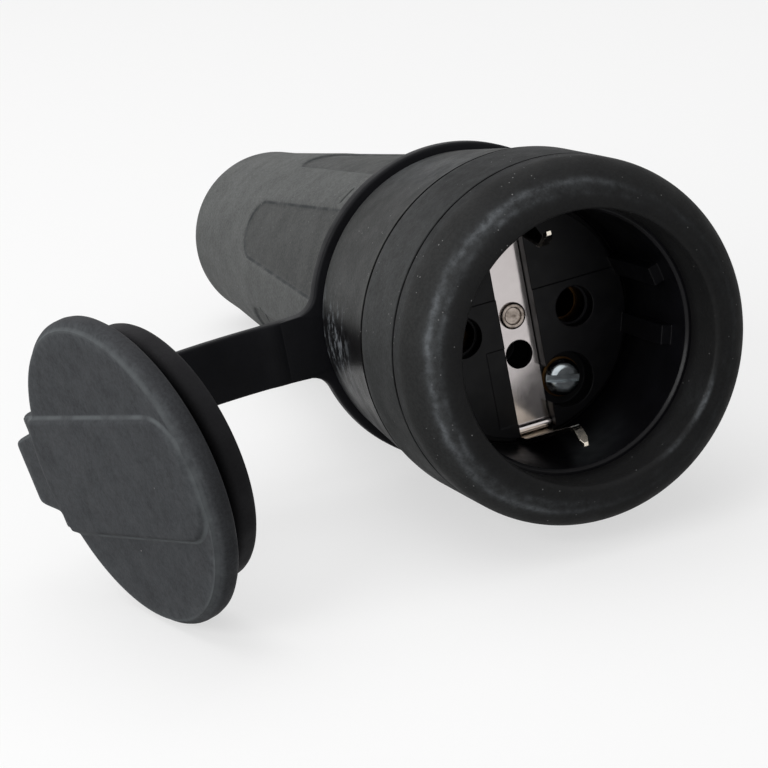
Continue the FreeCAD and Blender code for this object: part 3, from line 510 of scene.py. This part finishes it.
def housingOutline():
    h = housing
    head, one, two, rounding = h["headRadius"], h["grooveOne"], h["grooveTwo"], h["endRounding"]
    inlet, length = h["inletRadius"], h["length"]
    outside = joined(
        [(h["mouthRadius"], depth) for depth in (7.5, 5.0, 2.5)],
        arc(h["lipCrest"], h["mouthRounding"], h["mouthRounding"], 180, 270, 6),
        arc(h["lipCrest"], h["lipRounding"], h["lipRounding"], -90, 0, 40),
        line((head, h["lipRounding"]), (head, one - 0.5), 3),
        bandGroove(one, head),
        line((head, one + 0.6), (head - 0.05, two - 0.6), 10),
        bandGroove(two, head - 0.15),
        line((head - 0.3, two + 0.6), (h["bandEndRadius"], h["bandEnd"] - 0.5), 22),
        [(h["bandEndRadius"] - 0.15, h["bandEnd"] - 0.15), (h["bandEndRadius"] - 0.5, h["bandEnd"])],
        [(h["neckRadius"], h["bandEnd"]), (h["neckRadius"], h["neckEnd"])],
        [(22.7, h["neckEnd"]), (23.1, h["neckEnd"] + 0.12)],
    )
    end = arc(gripRadius(h["gripEnd"]) - rounding, h["gripEnd"], rounding, 0, 90, 14)
    inside = joined(
        [(9.5, length), (inlet + h["inletFlare"], length)],
        [(inlet + 0.35, length - 0.35), (inlet, length - h["inletFlare"])],
        line((inlet, 140.0), (inlet, h["inletStart"]), 6),
        h["hollow"],
    )
    return outside + gripOutline() + end + inside


def panelEdge(around, depth):  # how far inside a panel's rounded outline, in mm
    h = housing
    middle = (h["panelStart"] + h["panelEnd"]) / 2
    halfLength = (h["panelEnd"] - h["panelStart"]) / 2
    share = (depth - h["panelStart"]) / (h["panelEnd"] - h["panelStart"])
    halfWidth = (h["panelFront"] + (h["panelRear"] - h["panelFront"]) * share) / 2
    corner = h["panelCorner"]
    overX = abs(around) - (halfWidth - corner)
    overY = abs(depth - middle) - (halfLength - corner)
    return insideRounded(overX, overY, corner)


def slitDistance(radius, depth, degrees):  # mm to the nearest of the short moulded slits
    nearest = farOff
    for azimuth, slitDepth in housing["slits"]:
        around = abs(math.radians(turnBetween(degrees, azimuth)) * radius)
        past = max(around - housing["slitHalfLength"], 0.0)
        nearest = min(nearest, math.hypot(past, depth - slitDepth))
    return nearest


def housingDip(radius, depth, degrees):  # how deep the grip is sunk, and how near its panels and slits are
    h = housing
    step = 360 / h["panels"]
    nearest = (degrees - h["panelAzimuth"] + step / 2) % step - step / 2
    inside = panelEdge(math.radians(nearest) * radius, depth)
    dip = h["panelDepth"] * smooth(inside, -0.15, 0.5)
    dip += h["seamDepth"] * math.exp(-((inside + 0.05) / h["seamWidth"]) ** 2)
    slit = slitDistance(radius, depth, degrees)
    dip += h["slitDepth"] * smooth(-slit, -h["slitHalfWidth"], -0.1)
    return dip, inside, slit


def wavyShare(degrees, pace, start):  # a fixed wavy number from 0 to 1 around the lip
    turn = math.radians(degrees)
    waves = math.sin(pace * turn + start) + 0.7 * math.sin(2.6 * pace * turn + 2 * start)
    return 0.5 + (waves + 0.5 * math.sin(6.1 * pace * turn + 3 * start)) / 4.4


def lipWearAndSheen(radius, depth, degrees):  # painted highlights at the mouth's edge, and wear in two strands that fade to the right
    if depth > 5.5:
        return 0.0
    # painted highlight: light smears on the mouth's edge at its lower right
    if radius < 21.2:
        nearEdge = math.exp(-((degrees - 322) / 9) ** 2) + 0.4 * math.exp(-((degrees - 300) / 6) ** 2)
        return 0.9 * nearEdge * math.exp(-((radius - 20.5) / 0.3) ** 2)
    left = smooth(-math.cos(math.radians(degrees + 12)), -0.5, 0.7)
    middle = housing["wearRadius"] + 1.6 * left
    first = math.exp(-((radius - middle - 0.5 * wavyShare(degrees, 5, 1.0)) / 0.42) ** 2)
    second = math.exp(-((radius - middle + 0.9 + 0.5 * wavyShare(degrees, 7, 4.0)) / 0.36) ** 2)
    soft = math.exp(-((radius - middle + 0.4) / 1.2) ** 2)
    strands = first * (0.25 + 0.75 * wavyShare(degrees, 9, 2.0))
    strands += 0.6 * second * wavyShare(degrees, 8, 5.0) ** 2
    return (0.10 + 0.72 * left) * (strands + 0.22 * soft)


def rearBandPaint(depth, degrees, toLeft):  # glossy below, scratched at the left, dusty on top, where the dust also paints light: the top lighter than the glossy underside
    h = housing
    halfGloss = (h["glossTo"] - h["glossFrom"]) / 2
    edge = turnBetween(degrees, (h["glossFrom"] + h["glossTo"]) / 2)
    shiny = smooth(-abs(edge), -halfGloss - 5, -halfGloss + 5)
    patch = math.exp(-((degrees - 178) / 13) ** 2) * smooth(depth, 28, 36)
    below = 0.12 * math.exp(-((degrees - 205) / 20) ** 2) * smooth(depth, 24, 30)
    top = 0.2 * math.exp(-((degrees - 104) / 12) ** 2)
    shine = (0.35 + 0.65 * shiny) * (1 - 0.6 * smooth(degrees, 192, 205))
    # painted light: dust covers only the band's top, more to the left, and leaves its glossy underside
    # black
    return h["rearDustAndSheen"] * (1 - shiny) * (0.4 + 0.6 * toLeft), below + top, shine, h["scratches"] * patch


def housingPaint(radius, depth, degrees, inside):  # dust, wear, gloss and scratches at one place outside; on the head the dust also paints light, and the wear paints highlights at the mouth's edge
    h = housing
    # toLeft grows towards the left, where the light falls; the head's dust grows with it as painted light
    toLeft = smooth(-math.cos(math.radians(degrees - 6)), 0.1, 0.95)
    if depth > h["neckEnd"]:
        dustAndLight = h["gripDust"] - h["panelClean"] * smooth(inside, -0.3, 0.3)
        dustAndLight += h["endDust"] * smooth(depth, 70, 120)
        dustAndLight *= 0.3 + 0.7 * smooth(radius, 6.5, 15.0)
        nearRing = smooth(-depth, -56.0, -50.0)
        return dustAndLight, 0.2 * nearRing, 0.0, 0.3 * nearRing
    if depth > h["grooveTwo"]:
        return rearBandPaint(depth, degrees, toLeft)
    if depth > h["grooveOne"]:
        return h["middleDustAndLeftLight"][0] + h["middleDustAndLeftLight"][1] * toLeft, h["bandWear"], 0.0, 0.0
    if depth > h["lipRounding"]:
        return h["frontDustAndLeftLight"][0] + h["frontDustAndLeftLight"][1] * toLeft, h["bandWear"], 0.0, 0.0
    least = 0.75 - 0.45 * toLeft
    inward = least + (1 - least) * smooth(radius, 22.6, 24.8)
    dustAndLight = (h["lipDustAndLeftLight"][0] + h["lipDustAndLeftLight"][1] * toLeft) * inward
    return dustAndLight, lipWearAndSheen(radius, depth, degrees), 0.0, 0.0


def makeHousing():
    h = housing
    outline = housingOutline()
    points, paint = [], {"dustAndLight": [], "wearAndSheen": [], "gloss": [], "marks": [], "edge": [], "line": []}
    for radius, depth in outline:
        isGrip = depth > h["neckEnd"] + 0.3 and radius > 15.0
        isOutside = radius > 12.7 and not (depth < 63 and radius < 21.3) or depth < 7.0 or depth > 142.5
        isMouth = radius < 20.6 and depth < 8
        fromGroove = farOff
        if radius > 25.5:
            fromGroove = min(abs(depth - h["grooveOne"]), abs(depth - h["grooveTwo"]))
        for column in range(h["columns"]):
            degrees = 360 * column / h["columns"]
            dip, inside, slit = housingDip(radius, depth, degrees) if isGrip else (0.0, -farOff, farOff)
            points.append(turnedPlace(radius - dip, depth, degrees))
            dustAndLight, wornAndSheen, shiny, marks = 0.0, 0.0, 0.0, 0.0
            if isOutside:
                dustAndLight, wornAndSheen, shiny, marks = housingPaint(radius, depth, degrees, inside)
            # painted shade: no dust right next to the band grooves
            paint["dustAndLight"].append(dustAndLight * smooth(fromGroove, 0.1, 0.5))
            # wear, with painted highlights at the mouth's edge, shown in the scuff colour
            paint["wearAndSheen"].append(wornAndSheen)
            paint["gloss"].append(h["mouthGloss"] if isMouth else shiny)
            paint["marks"].append(marks)
            # painted shade: the distance to a panel's outline draws a dark line along its seam
            paint["edge"].append(inside)
            # painted shade: a near black line along the band grooves and slits
            paint["line"].append(min(fromGroove, slit))
    piece = makePiece("housingRubber", points, gridFaces(len(outline), h["columns"], True, True), paint)
    dress(piece, "housing_rubber")
    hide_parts("rubber_housing")
    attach(piece, "socket")
    print("housing made:", len(outline), "rings")


# The tether: neck ring, strap and cap loop, moulded in one
tether = {
    "bore": 21.7, "boreEdge": 0.2, "radius": 25.6, "thickness": 2.4, "width": 10.0, "root": 6.0,
    "fillet": 4.0, "edge": 0.5, "ringColumns": 480,
    "rootRows": (-29.5, -30.6, -31.6, -32.4, -33.2, -34.2), "thinFrom": -31.6, "strapThickness": 1.8,
    "strapEdge": 0.45, "strapInset": 0.01,  # the inset keeps its faces just inside the ring and loop
    "firstStart": -35.2, "firstRadius": 60.0, "firstTurn": 25.0, "twistEnd": (-64.18, 39.49),
    "secondRadius": 8.8, "secondTurn": 79.1, "entry": 18.5, "inLoop": 17.35,
    "firstSteps": 24, "twistSteps": 6, "secondSteps": 18,
    "loopBore": 16.1, "loopRadius": 18.6, "loopMiddle": -2.95, "loopColumns": 240,
    "bendStart": -28.5, "bendEnd": -38.0,
}


def ringReach(degrees):  # outer edge of the ring with its strap root, at one azimuth
    t = tether
    offset = math.radians(abs(turnBetween(degrees, 180)))
    half, fillet = t["width"] / 2, t["fillet"]
    centreY = half + fillet
    centreX = math.sqrt((t["radius"] + fillet) ** 2 - centreY ** 2)
    end = t["radius"] + t["root"] - 0.5
    if offset > math.atan2(centreY, centreX):
        return t["radius"]
    if offset < math.atan2(half, end):
        return end / math.cos(offset)
    if offset < math.atan2(half, centreX):
        return half / math.sin(offset)
    towards = centreX * math.cos(offset) + centreY * math.sin(offset)
    return towards - math.sqrt(towards ** 2 - centreX ** 2 - centreY ** 2 + fillet ** 2)


def ringPart(points):
    t = tether
    half, edge, bevel, columns = t["thickness"] / 2, t["edge"], t["boreEdge"], t["ringColumns"]
    bore = [(bevel, -half), (0.0, bevel - half), (0.0, half - bevel), (bevel, half)]
    outer = arc(-edge, half - edge, edge, 90, 0, 4) + arc(-edge, edge - half, edge, 0, -90, 4)
    first = len(points)
    for row, (outward, offset) in enumerate(bore + outer):
        for column in range(columns):
            degrees = 360 * column / columns
            radius = (t["bore"] if row < len(bore) else ringReach(degrees)) + outward
            points.append(turnedPlace(radius, ringDepth + offset, degrees))
    return gridFaces(len(bore + outer), columns, True, True, first)


def strapStations():  # the strap's middle, the way across it and the way it faces, from root to loop
    t = tether
    stations = [(place(x, ringDepth, 0), axisUp, direction(0, -1, 0)) for x in t["rootRows"]]
    for step in range(t["firstSteps"] + 1):
        turn = math.radians(t["firstTurn"] * step / t["firstSteps"])
        x = t["firstStart"] - t["firstRadius"] * math.sin(turn)
        y = ringDepth - t["firstRadius"] * (1 - math.cos(turn))
        stations.append((place(x, y, 0), axisUp, direction(math.sin(turn), -math.cos(turn), 0)))
    twistStart, _, startFacing = stations[-1]
    full = math.radians(t["secondTurn"])
    endFacing = (capForward * math.sin(full) - capOut * math.cos(full)).normalized()
    twistEnd = place(t["twistEnd"][0], t["twistEnd"][1], 0)
    for step in range(1, t["twistSteps"] + 1):
        share = step / t["twistSteps"]
        across = (axisUp * (1 - share) + capUp * share).normalized()
        facing = (startFacing * (1 - share) + endFacing * share).normalized()
        stations.append((twistStart.lerp(twistEnd, share), across, facing))
    for step in range(1, t["secondSteps"] + 1):
        turn = full * (1 - step / t["secondSteps"])
        a = -(t["entry"] + t["secondRadius"] * math.sin(turn))
        h = t["loopMiddle"] - t["secondRadius"] * (1 - math.cos(turn))
        facing = (capForward * math.sin(turn) - capOut * math.cos(turn)).normalized()
        stations.append((capPlace(a, 0, h), capUp, facing))
    stations.append((capPlace(-t["inLoop"], 0, t["loopMiddle"]), capUp, -capOut))
    return stations


def strapPart(points):
    t = tether
    stations = strapStations()
    first = len(points)
    for middle, across, facing in stations:
        outward = (middle - place(t["thinFrom"], ringDepth, 0)).length / mm
        thickness = t["thickness"] + (t["strapThickness"] - t["thickness"]) * smooth(outward, 0.5, 3.0)
        half = thickness / 2 - t["strapInset"]
        section = roundedBox(-t["width"] / 2, t["width"] / 2, -half, half, t["strapEdge"], 3)
        for wide, thick in section:
            points.append(middle + (across * wide + facing * thick) * mm)
    faces = gridFaces(len(stations), len(section), False, True, first)
    faces.append(tuple(range(first, first + len(section)))[::-1])
    last = first + (len(stations) - 1) * len(section)
    faces.append(tuple(range(last, last + len(section))))
    return faces


def loopPart(points):
    t = tether
    middle, half, bore, bevel = t["loopMiddle"], t["strapThickness"] / 2, t["loopBore"], t["boreEdge"]
    rim, edge, columns = t["loopRadius"] - t["edge"], t["edge"], t["loopColumns"]
    outline = joined(
        [(bore, middle - half + bevel), (bore, middle + half - bevel), (bore + bevel, middle + half)],
        arc(rim, middle + half - edge, edge, 90, 0, 4),
        arc(rim, middle - half + edge, edge, 0, -90, 4),
        [(bore + bevel, middle - half)],
    )
    first = len(points)
    for radius, height in outline:
        for column in range(columns):
            angle = 2 * math.pi * column / columns
            points.append(capPlace(radius * math.cos(angle), radius * math.sin(angle), height))
    return gridFaces(len(outline), columns, True, True, first)


def makeTether():
    points = []
    faces = ringPart(points)
    faces += strapPart(points)
    faces += loopPart(points)
    plain = [farOff] * len(points)
    piece = makePiece("tetherRubber", points, faces, {"edge": plain, "line": plain})
    dress(piece, "tether_rubber")
    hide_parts("tether_ring", "cap_strap")
    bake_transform(piece)
    print("tether made:", len(points), "points")


# The sealing cap: disc with a raised band, a grip tab, and the short dished plug behind it
cap = {
    "turned": 7.5, "radius": 23.1, "rim": 1.85, "faceEdge": 1.1, "backEdge": 1.1,
    "neck": 16.0, "shoulder": -4.05, "plugRadius": 19.5, "plugEnd": -7.65, "plugEdge": 1.1, "dish": 15.5,
    "floor": -5.05, "bandHeight": 0.8, "bandHalf": 9.3, "bandEnd": 22.0, "bandCorner": 7.0,
    "tabReach": 31.0, "tabHalf": 5.0, "tabSpread": 0.22, "tabDrop": 1.35, "tabLift": 0.75,
    "shoulderReach": 25.2,
    "columns": 540, "rings": 62, "softening": 1.6, "softenedOver": 3,
    "dustAndLight": {"face": 0.95, "faceEdge": 0.9, "backEdge": 0.75, "back": 0.4, "turned": 0.18},
    "faceWear": 0.22,
}


def capReach(degrees):  # how far the cap reaches at one angle: its disc, the tab's shoulders or the tab
    c = cap
    along, side = -math.cos(math.radians(degrees)), abs(math.sin(math.radians(degrees)))
    reach = c["radius"]
    if along > 0:
        shoulderEnd = c["shoulderReach"] / along
        if shoulderEnd * side > c["bandHalf"]:
            shoulderEnd = c["bandHalf"] / side
        reach = max(reach, shoulderEnd)
        tipEnd = c["tabReach"] / along
        tipSide = (c["tabHalf"] + c["tabSpread"] * c["tabReach"]) / (side + c["tabSpread"] * along)
        reach = max(reach, min(tipEnd, tipSide))
    return reach


def softReach():  # the reach at every column, with its corners softened
    c = cap
    count, spread = c["columns"], c["softenedOver"]
    raw = [capReach(360 * column / count) for column in range(count)]
    weights = {k: math.exp(-(k / c["softening"]) ** 2) for k in range(-spread, spread + 1)}
    total = sum(weights.values())
    return [sum(weights[k] * raw[(column + k) % count] for k in weights) / total for column in range(count)]


def capFace(a, b, distance):  # height of the cap's face, and how far inside the band a point is
    c = cap
    corner = c["bandCorner"]
    inside = insideRounded(a - (c["bandEnd"] - corner), abs(b) - (c["bandHalf"] - corner), corner)
    height = c["rim"] + c["bandHeight"] * smooth(inside, -0.1, 0.9)
    tab = smooth(distance, c["radius"] - 1.5, c["radius"] + 2.0)
    return height - tab * c["tabDrop"], inside


def capRows():  # from near the middle of the face, over the rim and the back, to the floor of the dish
    c = cap
    rows = [("face", ring / c["rings"]) for ring in range(1, c["rings"] + 1)]
    rows += [("faceEdge", math.radians(angle)) for angle in (72, 54, 36, 18, 0)]
    rows += [("backEdge", math.radians(angle)) for angle in (0, 30, 60, 90)]
    rows += [("back", share) for share in (0.25, 0.5, 0.75)]
    back, neck, shoulder = -c["rim"], c["neck"], c["shoulder"]
    plug, end, edge, dish, floor = c["plugRadius"], c["plugEnd"], c["plugEdge"], c["dish"], c["floor"]
    turnedRows = joined(
        [(neck + 0.5, back), (neck + 0.15, back - 0.1), (neck, back - 0.4), (neck, shoulder + 0.2)],
        [(neck + 0.2, shoulder)],
        arc(plug - edge, shoulder - edge, edge, 90, 0, 6),
        arc(plug - edge, end + edge, edge, 0, -90, 6),
        [(dish + 0.3, end), (dish, end + 0.3), (dish, floor - 0.4), (dish - 0.4, floor)],
        [(8.0, floor), (3.0, floor)],
    )
    return rows + [("turned", pair) for pair in turnedRows]


def capPoint(kind, value, a, b, reach):  # distance out and height of a row's point, then its paint
    c = cap
    rimFace, _ = capFace(a * (reach - 1.0), b * (reach - 1.0), reach)
    rimBack = -c["rim"] + c["tabLift"] * smooth(reach, c["radius"] + 0.5, c["radius"] + 3.0)
    inside, wornAndSheen, rimLine = -farOff, 0.0, farOff
    faceEdge = min(c["faceEdge"], (rimFace - rimBack) * 0.45)
    backEdge = min(c["backEdge"], (rimFace - rimBack) * 0.4)
    if kind == "face":
        distance = value ** 0.9 * (reach - faceEdge)
        height, inside = capFace(a * distance, b * distance, distance)
        # rimLine places a pale painted highlight where the face turns over the rim
        rimLine = reach - faceEdge - distance
        wornAndSheen = c["faceWear"] + 0.3 * smooth(distance, reach - faceEdge - 2.5, reach - faceEdge)
    elif kind == "faceEdge":
        distance = reach - faceEdge + faceEdge * math.cos(value)
        height = rimFace - faceEdge + faceEdge * math.sin(value)
        rimLine = faceEdge * (math.pi / 2 - value)
        wornAndSheen = 0.5 * smooth(math.sin(value), 0.3, 0.95)
    elif kind == "backEdge":
        distance = reach - backEdge + backEdge * math.cos(value)
        height = rimBack + backEdge - backEdge * math.sin(value)
    elif kind == "back":
        distance = reach - backEdge + (c["neck"] + 1.2 - reach + backEdge) * value
        height = rimBack + (-c["rim"] - rimBack) * smooth(value, 0.0, 0.5)
    else:
        distance, height = value
    return distance, height, wornAndSheen, inside - 0.1, rimLine


def makeCap():
    c = cap
    reaches, rows, columns = softReach(), capRows(), c["columns"]
    points, paint = [], {"dustAndLight": [], "wearAndSheen": [], "edge": [], "line": []}
    for kind, value in rows:
        for column, reach in enumerate(reaches):
            angle = math.radians(360 * column / columns)
            a, b = math.cos(angle), math.sin(angle)
            distance, height, *painted = capPoint(kind, value, a, b, reach)
            points.append(capPlace(a * distance, b * distance, height, c["turned"]))
            for label, number in zip(paint, (c["dustAndLight"][kind], *painted)):
                paint[label].append(number)
    faces = gridFaces(len(rows), columns, False, True)
    front, back = len(points), len(points) + 1  # the middle of the face, and of the dish's floor
    middleHeight, _ = capFace(0, 0, 0)
    points += [capPlace(0, 0, middleHeight), capPlace(0, 0, c["floor"])]
    paint["dustAndLight"] += [c["dustAndLight"]["face"], c["dustAndLight"]["turned"]]
    paint["wearAndSheen"] += [c["faceWear"], 0.0]
    paint["edge"] += [farOff, farOff]
    paint["line"] += [farOff, farOff]
    last = (len(rows) - 1) * columns
    for column in range(columns):
        side = (column + 1) % columns
        faces.append((front, side, column))
        faces.append((back, last + column, last + side))
    piece = makePiece("capRubber", points, faces, paint)
    dress(piece, "cap_rubber")
    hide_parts("sealing_cap")
    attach(piece, "cap")
    print("cap made:", len(rows), "rings")


makeHousing()
makeTether()
makeCap()


# Floor, light and camera, in metres
studio = {
    "floorSize": 6.0, "floorHeight": -0.0002, "floorShade": 0.3, "floorGlow": 0.6, "floorRoughness": 0.9,
    "worldStrength": 0.38, "shownStrength": 1.0,
    "lamps": [
        ("overhead", (-0.2, 0.2, 0.8), (0.0, 0.0, 0.02), (1.0, 0.8), 3.4),
        ("front left", (-0.75, -0.4, 0.42), (0.0, -0.02, 0.02), (0.5, 0.5), 4.4),
    ],  # name, place, target, size and power
}
photoView = {  # the camera that was fitted to the photo, in the socket's own frame and in mm
    "right": (0.9092, -0.3716, -0.1879), "down": (-0.2674, -0.1751, -0.9476),
    "forward": (0.3192, 0.9117, -0.2585), "place": (-142.19, -314.78, 93.01),
    "sensorWidth": 36.0, "lens": 117.19, "clipStart": 0.01,
}


def seenShare(tree):  # 1 for what the camera, a mirror or glass shows, and 0 for the light on the object
    rays = tree.nodes.new("ShaderNodeLightPath")
    seen = rays.outputs["Is Camera Ray"]
    for kind in ("Is Glossy Ray", "Is Transmission Ray"):
        either = tree.nodes.new("ShaderNodeMath")
        either.operation = "MAXIMUM"
        tree.links.new(seen, either.inputs[0])
        tree.links.new(rays.outputs[kind], either.inputs[1])
        seen = either.outputs[0]
    return seen


def makeFloor():
    bpy.ops.mesh.primitive_plane_add(size=studio["floorSize"], location=(0, 0, studio["floorHeight"]))
    floor = bpy.context.object
    floor.name = "paleFloor"
    finish = Finish("pale floor")
    seen = seenShare(finish.tree)
    colour = finish.blend(seen, grey(studio["floorShade"]), grey(1.0))
    finish.set(Base_Color=colour, Roughness=studio["floorRoughness"])
    white = finish.tree.nodes.new("ShaderNodeEmission")
    mixed = finish.tree.nodes.new("ShaderNodeMixShader")
    finish.feed(mixed.inputs[0], finish.times(seen, studio["floorGlow"]))
    finish.feed(mixed.inputs[1], finish.shader.outputs[0])
    finish.feed(mixed.inputs[2], white.outputs[0])
    finish.feed(finish.output.inputs[0], mixed.outputs[0])
    floor.data.materials.append(finish.material)


def makeWorld():
    world = bpy.data.worlds.new("soft studio")
    bpy.context.scene.world = world
    world.use_nodes = True
    tree = world.node_tree
    tree.nodes.clear()
    output = tree.nodes.new("ShaderNodeOutputWorld")
    mixed = tree.nodes.new("ShaderNodeMixShader")
    tree.links.new(seenShare(tree), mixed.inputs[0])
    for socket, strength in zip(mixed.inputs[1:3], (studio["worldStrength"], studio["shownStrength"])):
        glow = tree.nodes.new("ShaderNodeBackground")
        glow.inputs["Color"].default_value = grey(1.0)
        glow.inputs["Strength"].default_value = strength
        tree.links.new(glow.outputs[0], socket)
    tree.links.new(mixed.outputs[0], output.inputs[0])


def addLamp(name, position, target, size, power):
    lamp = bpy.data.lights.new(name, "AREA")
    lamp.shape = "RECTANGLE"
    lamp.size, lamp.size_y = size
    lamp.energy = power
    holder = bpy.data.objects.new(name, lamp)
    holder.location = position
    holder.rotation_euler = (Vector(target) - Vector(position)).to_track_quat("-Z", "Y").to_euler()
    bpy.context.scene.collection.objects.link(holder)


def makeCamera():
    camera = bpy.data.cameras.new("photo view")
    camera.sensor_width = photoView["sensorWidth"]
    camera.lens = photoView["lens"]
    camera.clip_start = photoView["clipStart"]
    holder = bpy.data.objects.new("photo view", camera)
    right, down, forward = (direction(*photoView[way]) for way in ("right", "down", "forward"))
    matrix = Matrix((right, -down, -forward)).transposed().to_4x4()
    matrix.translation = place(*photoView["place"])
    holder.matrix_world = matrix
    bpy.context.scene.collection.objects.link(holder)
    bpy.context.scene.camera = holder


makeFloor()
makeWorld()
for lampValues in studio["lamps"]:
    addLamp(*lampValues)
makeCamera()
bpy.context.scene.view_settings.view_transform = "Standard"
print("stage made:", len(studio["lamps"]), "lamps")
